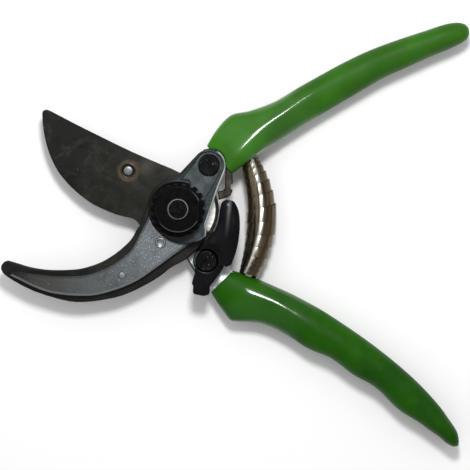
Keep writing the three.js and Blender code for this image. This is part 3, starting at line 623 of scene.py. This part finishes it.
LOWER_RIBS = [
    ((16, -32.8), (24.2, -23.3), 3, 13.8, 0, 0.1),
    ((20, -38.3), (28.2, -24), 1.8, 14.1, -0.1, 0.3),
    ((24.4, -43.4), (33, -25.6), 1, 14.45, -0.22, 0.9),
    ((27.6, -44), (36.4, -26.4), 0.7, 14.75, -0.2, 1.0),
    ((36.4, -43.9), (42.8, -28.6), 0.3, 15.35, -0.15, 1.0),
    ((44.4, -46.2), (50, -31.2), 0, 16, -0.08, 1.0),
    ((55, -51.2), (61, -36.1), 0, 16.8, 0.0, 0.8),
    ((67, -56.4), (72.5, -42.3), 0, 16.9, 0.05, 0.4),
    ((78, -62), (84, -49.1), 0, 16.4, 0, 0.2),
    ((89, -68.8), (95.4, -56.8), 0, 15.9, 0, 0.1),
    ((99, -76), (104.8, -64.1), 0.1, 15.7, 0, 0.1),
    ((108.3, -81.4), (112.8, -71.6), 0.3, 15.4, 0, 0.1),
    ((113.6, -84.4), (117.4, -76.9), 0.8, 14.9, 0, 0.1),
    ((117.5, -87.2), (121.2, -81.8), 1.7, 14, 0, 0.1),
    ((120.1, -88.3), (122.4, -85.5), 3.6, 12.2, 0, 0.1),
    ((121.7, -88), (122.4, -87.1), 6.4, 9.6, 0, 0.1),
]
WAVE_DEPTH, WAVE_PITCH, WAVE_CREST, WAVE_FROM, WAVE_TO = 0.6, 19.5, 67, 47, 112
SECTION_POWER = 2.5
RIDGE_DROP = 0.22
RIDGE_SOFTNESS = 0.07
GRIP_SIDES = 64
GRIP_STATIONS = 120
CAP_RINGS, CAP_SPAN = 14, 14.2  # the last ring stops just short of the tip
WALL = 1.5
CREST_SPREAD = 1.6
# The sleeve's open end: each ring's inset as a share of WALL, and how far back along the grip it lies.
LIP_RINGS = [(1.0, 0.05), (1.0, 0.0025), (0.75, 0.0005), (0.35, 0.0), (0.1, 0.000875)]
LIP_FADE = 8  # how fast a notched front end evens out along the grip
NOTCH_SEARCH, NOTCH_STEP = 0.12, 0.001


def finger_wave(x):
    """How far the outer edge swings out between the fingers, in mm."""
    if not WAVE_FROM < x < WAVE_TO:
        return 0.0
    fade = math.sqrt(math.sin(math.pi * (x - WAVE_FROM) / (WAVE_TO - WAVE_FROM)))
    return WAVE_DEPTH * fade * math.cos(2 * math.pi * (x - WAVE_CREST) / WAVE_PITCH)


def along_ribs(ribs, t):
    """The rib values at t from 0 to 1, by Catmull-Rom interpolation."""
    rows = [(*a, *b, low, high, crest, sharp) for a, b, low, high, crest, sharp in ribs]
    place = min(max(t, 0.0), 1.0) * (len(rows) - 1)
    i = min(int(place), len(rows) - 2)
    u = place - i
    p0, p1, p2, p3 = rows[max(i - 1, 0)], rows[i], rows[i + 1], rows[min(i + 2, len(rows) - 1)]
    return [
        b + 0.5 * u * (c - a + u * (2 * a - 5 * b + 4 * c - d + u * (3 * (b - c) + d - a)))
        for a, b, c, d in zip(p0, p1, p2, p3)]


def power(value, exponent):
    """The power of a value's size, with the value's own sign."""
    return math.copysign(abs(value) ** exponent, value)


def grip_point(ribs, t, turn, inset=0.0, waves=False):
    """A point of the grip's skin, in mm: t runs along it and turn goes round the section."""
    ox, oy, ix, iy, low, high, crest, sharp = along_ribs(ribs, t)
    if waves:
        oy += finger_wave(ox)
    outer, inner = Vector((ox, oy)), Vector((ix, iy))
    across = (outer - inner).normalized()
    half = (outer - inner).length / 2 - inset
    tall = (high - low) / 2 - inset
    side = power(math.cos(turn), 2 / SECTION_POWER)
    rise = power(math.sin(turn), 2 / SECTION_POWER)
    if rise > 0:
        rise *= 1 - RIDGE_DROP * sharp * (math.hypot(side, RIDGE_SOFTNESS) - RIDGE_SOFTNESS)
        side += crest * (1 - side * side) * min(1.0, rise * CREST_SPREAD)
    flat = (outer + inner) / 2 + across * half * side
    return Vector((flat.x, flat.y, (low + high) / 2 + tall * rise))


def make_grip(node, material, ribs, reach, waves, notch=None):
    """A dipped sleeve: rounded lip and hollow front, and a far end rounded over reach mm."""
    turns = [2 * math.pi * (k + 0.5) / GRIP_SIDES for k in range(GRIP_SIDES)]
    starts = [front_start(ribs, turn, waves, notch) for turn in turns]
    rings = []
    for share, back in LIP_RINGS:
        rings.append([
            grip_point(ribs, start + back, turn, share * WALL, waves) for start, turn in zip(starts, turns)])
    for i in range(1, GRIP_STATIONS + 1):
        u = i / GRIP_STATIONS
        left = (1 - u) ** LIP_FADE
        rings.append([
            grip_point(ribs, u + start * left, turn, 0.0, waves) for start, turn in zip(starts, turns)])
    last = rings[-1]
    centre = sum(last, Vector()) / GRIP_SIDES
    across = (Vector((*ribs[-1][0], 0)) - Vector((*ribs[-1][1], 0))).normalized()
    ahead = Vector((-across.y, across.x, 0))
    if ahead.x < 0:
        ahead.negate()
    for i in range(1, CAP_RINGS + 1):
        s = math.sin(math.pi / 2 * i / CAP_SPAN)
        scale = math.sqrt(1 - s * s)
        rings.append([centre + (p - centre) * scale + ahead * s * reach for p in last])
    settle(tube(node + "_skin", [[p * MM for p in ring] for ring in rings], material), node)


def front_start(ribs, turn, waves, notch):
    """Where along the grip the skin starts on this side, so that it stands clear of a round boss."""
    if notch is None:
        return 0.0
    x, y, r = notch
    t = 0.0
    while t < NOTCH_SEARCH:
        p = grip_point(ribs, t, turn, 0.0, waves)
        if math.hypot(p.x - x, p.y - y) >= r:
            return t
        t += NOTCH_STEP
    return t


# ---------------------------------------------------------------- volute spring

# The spring's bowed axis in mm, past both ends, and its height above the floor.
SPRING_LINE = [
    (26.2, 26.6), (28, 21.6), (32.4, 10.5), (34.5, -1), (33.5, -13.7), (30.6, -24.1), (29, -28.4)]
SPRING_Z = 8.0
SPRING_TURNS = 13
END_PITCH, PITCH_SWELL = 1.9, 3.6
END_R, MID_R = 3.45, 6.1
STRIP_THICK = 0.34
STRIP_OVERLAP = 1.3
STRIP_EDGE = 0.1
TURN_GAP = 0.12
TURN_SIDES = 56
SHEAR = 0.5  # 0: the turns step alike on both sides; 1: they lie flush on the inner side
STRIP_CORNER = math.radians(32)
AXIS_STEPS = 400


def line_point(x):
    """A point of the axis, and its direction there; x counts the points of SPRING_LINE."""
    i = min(max(int(x), 1), len(SPRING_LINE) - 3)
    u = x - i
    p0, p1, p2, p3 = (Vector(SPRING_LINE[k]) for k in (i - 1, i, i + 1, i + 2))
    at = p1 + 0.5 * u * (p2 - p0 + u * (2 * p0 - 5 * p1 + 4 * p2 - p3 + u * (3 * (p1 - p2) + p3 - p0)))
    way = 0.5 * (p2 - p0) + u * (2 * p0 - 5 * p1 + 4 * p2 - p3) + 1.5 * u * u * (3 * (p1 - p2) + p3 - p0)
    return at, way


def measure_axis():
    """The axis between the spring's ends as a list of (distance, x), so that turns can be spaced along it."""
    first, last = 1.0, len(SPRING_LINE) - 2.0
    rows = [(0.0, first)]
    before = line_point(first)[0]
    for i in range(1, AXIS_STEPS + 1):
        x = first + (last - first) * i / AXIS_STEPS
        at = line_point(x)[0]
        rows.append((rows[-1][0] + (at - before).length, x))
        before = at
    return rows


AXIS_ROWS = measure_axis()
AXIS_LENGTH = AXIS_ROWS[-1][0]


def spring_axis(distance):
    """A point and the direction of the axis at a distance along it, in mm; straight past both ends."""
    inside = min(max(distance, 0.0), AXIS_LENGTH)
    place = inside / AXIS_LENGTH * (len(AXIS_ROWS) - 1)
    i = min(int(place), len(AXIS_ROWS) - 2)
    while i > 0 and AXIS_ROWS[i][0] > inside:
        i -= 1
    while i < len(AXIS_ROWS) - 2 and AXIS_ROWS[i + 1][0] < inside:
        i += 1
    (d0, x0), (d1, x1) = AXIS_ROWS[i], AXIS_ROWS[i + 1]
    at, way = line_point(x0 + (x1 - x0) * (inside - d0) / (d1 - d0))
    way.normalize()
    return at + way * (distance - inside), way


def turn_pitch(u):
    """The distance between turns at u, from 0 to 1 along the strip: widest in the middle."""
    return END_PITCH + PITCH_SWELL * math.sin(math.pi * u) ** 2


def turn_place(u):
    """How far along the axis the strip has come at u, as a share of its length."""
    swell = 0.5 * u - math.sin(2 * math.pi * u) / (4 * math.pi)
    return (END_PITCH * u + PITCH_SWELL * swell) / (END_PITCH + PITCH_SWELL / 2)


def make_spring():
    """A flat strip wound as a double cone: wide turns overlap narrow ones."""
    steps = SPRING_TURNS * TURN_SIDES
    rings = []
    for i in range(steps + 1):
        u = i / steps
        middle = turn_place(u) * AXIS_LENGTH
        from_middle = 2 * u - 1
        radius = END_R + (MID_R - END_R) * (1 - abs(from_middle))
        half = 0.5 * (turn_pitch(u) - TURN_GAP + STRIP_OVERLAP * math.sqrt(abs(from_middle)))
        slope = -math.copysign(2 * (MID_R - END_R) / (SPRING_TURNS * turn_pitch(u)), from_middle)
        angle = 2 * math.pi * SPRING_TURNS * u
        ring = []
        section = [(-half, -1), (-half, 1 - STRIP_EDGE * 2), (-half + STRIP_EDGE, 1), (half - STRIP_EDGE, 1),
                   (half, 1 - STRIP_EDGE * 2), (half, -1)]
        for along, out in section:
            at, way = spring_axis(middle + along)
            across = Vector((-way.y, way.x))
            r = radius + out * STRIP_THICK / 2
            side = r * math.cos(angle) - SHEAR * slope * along
            flat = at + across * side
            ring.append(Vector((flat.x, flat.y, SPRING_Z + r * math.sin(angle))) * MM)
        rings.append(ring)
    piece = tube("volute_spring_strip", rings, FINISHES["spring_steel"])
    piece.data.set_sharp_from_angle(angle=STRIP_CORNER)
    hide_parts("volute_spring")
    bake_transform(piece)


# ---------------------------------------------------------------- turned and moulded pieces

TURNED_SIDES = 72
TURNED_CORNER = math.radians(50)


def turned(node, profile, material):
    """A riveted or turned head: a profile of (radius, height) in mm, spun about the node's own middle."""
    x, y, _ = middle_of(node)
    angles = [2 * math.pi * k / TURNED_SIDES for k in range(TURNED_SIDES)]
    rings = []
    for r, z in profile:
        rings.append([(x + r * MM * math.cos(a), y + r * MM * math.sin(a), z * MM) for a in angles])
    piece = tube(node + "_turned", rings, material)
    piece.data.set_sharp_from_angle(angle=TURNED_CORNER)
    settle(piece, node)


FACES_UP = 0.9  # a flat top's normal has at least this much Z
LEVEL_SLACK = 0.00002  # metres
FAR, TINY = 1.0, 1e-18  # metres and square metres


def top_outline(mesh, height):
    """The edges round the flat top of a mesh at a height, as pairs of 2-D points in an array."""
    count = {}
    for face in mesh.polygons:
        if face.normal.z > FACES_UP and abs(face.center.z - height) < LEVEL_SLACK:
            for key in face.edge_keys:
                count[key] = count.get(key, 0) + 1
    border = [key for key, times in count.items() if times == 1]
    return np.array([[mesh.vertices[a].co[:2], mesh.vertices[b].co[:2]] for a, b in border])


def edge_distance(points, edges):
    """The distance of each 2-D point to the nearest edge."""
    nearest = np.full(len(points), FAR)
    for a, b in edges:
        along = b - a
        share = np.clip(((points - a) @ along) / max(along @ along, TINY), 0, 1)
        nearest = np.minimum(nearest, np.linalg.norm(points - (a + share[:, None] * along), axis=1))
    return nearest


# In mm: the remesh's cell, and how deep under the highest point still counts as the top.
VOXEL, TOP_SKIN = 0.26, 0.35
EDGE_ROUNDS, CROWN_ROUNDS = 4, 70


def smooth(mesh, chosen, rounds, axes="xyz"):
    """Evens out the vertices that chosen(index) picks, along the axes named."""
    work = bmesh.new()
    work.from_mesh(mesh)
    verts = [v for v in work.verts if chosen(v.index)]
    for _ in range(rounds):
        bmesh.ops.smooth_vert(work, verts=verts, factor=0.5, use_axis_x="x" in axes, use_axis_y="y" in axes,
                              use_axis_z="z" in axes)
    work.to_mesh(mesh)
    work.free()


def moulded(node, low, drop, reach):
    """A forged lever: its solid remeshed finely, its edges softened and its top crowned.

    Everything above low (mm) is lowered by up to drop, most at the rim and nothing past reach from it.
    """
    source = NODES[node].data
    height = max(v.co.z for v in source.vertices)
    edges = top_outline(source, height)
    draft = bpy.data.objects.new("draft", source.copy())
    bpy.context.scene.collection.objects.link(draft)
    fine = draft.modifiers.new("fine", "REMESH")
    fine.mode = "VOXEL"
    fine.voxel_size = VOXEL * MM
    shape = draft.evaluated_get(bpy.context.evaluated_depsgraph_get())
    mesh = bpy.data.meshes.new_from_object(shape)
    bpy.data.objects.remove(draft)
    mesh.name = node + "_moulded"
    smooth(mesh, lambda index: True, EDGE_ROUNDS)
    at = np.array([v.co[:] for v in mesh.vertices])
    on_top = at[:, 2] > height - TOP_SKIN * MM
    inside = np.where(on_top, edge_distance(at[:, :2], edges), 0.0)
    share = np.clip(inside / (reach * MM), 0, 1)
    fall = drop * MM * (1 - np.sqrt(1 - (1 - share) ** 2))
    up = np.clip((at[:, 2] - low * MM) / (height - low * MM), 0, 1)
    at[:, 2] -= fall * up
    for vertex, co in zip(mesh.vertices, at):
        vertex.co = co
    smooth(mesh, lambda index: inside[index] > 0, CROWN_ROUNDS, "z")
    settle(shown(node + "_moulded", mesh, FINISHES[SLOT_OF[node]]), node)


# ---------------------------------------------------------------- stage

# The view, in mm and degrees: its middle, how far the object is turned in it, and its width at VIEW_HEIGHT.
VIEW_MIDDLE = (24.0, -8.6)
VIEW_TURN = 4.5
VIEW_WIDTH = 192.7
VIEW_HEIGHT = 12.0
SENSOR = 36.0
LENS = 200.0
FLOOR_SIZE, FLOOR_Z = 6, -0.0004
FILL_LIGHT = 0.55


def make_camera():
    data = bpy.data.cameras.new("camera")
    data.type = "PERSP"
    data.sensor_width = SENSOR
    data.lens = LENS
    data.clip_start = 0.01
    data.clip_end = 20
    camera = bpy.data.objects.new("camera", data)
    bpy.context.scene.collection.objects.link(camera)
    distance = VIEW_WIDTH * LENS / SENSOR
    camera.location = (VIEW_MIDDLE[0] * MM, VIEW_MIDDLE[1] * MM, (VIEW_HEIGHT + distance) * MM)
    camera.rotation_euler = (0, 0, math.radians(VIEW_TURN))
    bpy.context.scene.camera = camera


def add_light(name, at, aim, size, energy):
    """A square lamp at a place, aimed at a point; metres and watts."""
    data = bpy.data.lights.new(name, "AREA")
    data.shape = "SQUARE"
    data.size = size
    data.energy = energy
    light = bpy.data.objects.new(name, data)
    bpy.context.scene.collection.objects.link(light)
    light.location = at
    light.rotation_euler = (Vector(aim) - Vector(at)).to_track_quat("-Z", "Y").to_euler()


def make_stage():
    bpy.ops.mesh.primitive_plane_add(size=FLOOR_SIZE, location=(0, 0, FLOOR_Z))
    floor = bpy.context.object
    floor.name = "floor"
    f = Finish("floor_white", Roughness=0.9)
    f.color(f.toward(srgb(250, 250, 250), srgb(247, 247, 247), f.noise(3, 2), 0.3, 0.7))
    floor.data.materials.append(f.material)
    world = bpy.data.worlds.new("studio")
    world.use_nodes = True
    background = world.node_tree.nodes["Background"]
    background.inputs["Color"].default_value = (1, 1, 1, 1)
    background.inputs["Strength"].default_value = FILL_LIGHT
    bpy.context.scene.world = world
    bpy.context.scene.view_settings.view_transform = "Standard"
    middle = (0.025, 0, 0.01)
    add_light("key", (0.03, 0.25, 0.58), middle, 0.11, 2.5)
    add_light("soft", (-0.5, 0.6, 0.9), middle, 1.2, 1.9)


# ---------------------------------------------------------------- build

# Profiles as (radius, height) in mm, from the top of the head down.
BLADE_RIVET_PROFILE = [
    (0.1, 9.87), (1.1, 9.86), (1.65, 9.8), (1.95, 9.62), (2.1, 9.4), (2.25, 9.4), (2.4, 9.62), (2.6, 9.8),
    (3.1, 9.84), (3.2, 9.78), (2.35, 8.95), (2.3, 8.9), (2.3, 3.1), (0.1, 3.1)]
REAR_RIVET_PROFILE = [
    (0.1, 16.18), (0.8, 16.2), (1.2, 16.3), (1.5, 16.46), (1.75, 16.53), (2.0, 16.48), (2.15, 16.32),
    (2.2, 16.1), (2.2, 10.1), (0.1, 10.1)]
FRONT_RIVET_PROFILE = [
    (0.1, 16.3), (0.9, 16.29), (1.2, 16.24), (1.35, 16.12), (1.4, 15.9), (1.4, 10.1), (0.1, 10.1)]
# The height of the blade rivet's top and the radii of its bright head and its groove, in metres.
BLADE_RIVET_TOP, BLADE_RIVET_HEAD_R, BLADE_RIVET_GROOVE_R = 0.0098, 0.00195, 0.0024
EAR_NOTCH = (11.2, 18.9, 7.1)  # the upper grip stands clear of this circle: x, y and radius in mm

make_camera()
make_stage()

make_grip("upper_grip", FINISHES["green_vinyl"], UPPER_RIBS, reach=0.4, waves=False, notch=EAR_NOTCH)
make_grip("lower_grip", SHADED_LOWER_VINYL, LOWER_RIBS, reach=0.3, waves=True)
make_spring()

machined("hook_handle_forging", 0.35)
machined("blade_handle_forging", 0.4, make_blade_forging())
machined("counter_blade", 0.25)
machined("cutting_blade", 0.15)
machined("pivot_nut", 0.3, make_nut_steel())
machined("pivot_bolt", 0.4, make_bolt_end())
machined("lock_segment", 0.2)
machined("segment_screw", 0.2)
machined("catch_screw", 0.2)
machined("catch_keeper", 0.35, make_keeper_steel())
moulded("thumb_catch", low=18.9, drop=1.3, reach=3.8)
machined("catch_washer", 0.1)
rivet_x, rivet_y, _ = middle_of("blade_rivet")
flush_rivet = make_flush_rivet((rivet_x, rivet_y, BLADE_RIVET_TOP), BLADE_RIVET_HEAD_R, BLADE_RIVET_GROOVE_R)
turned("blade_rivet", BLADE_RIVET_PROFILE, flush_rivet)
dull_steel = make_dull_steel()
turned("counter_blade_rivet_rear", REAR_RIVET_PROFILE, dull_steel)
turned("counter_blade_rivet_front", FRONT_RIVET_PROFILE, dull_steel)
machined("spring_stud_upper", 0.3)
machined("spring_stud_lower", 0.3)
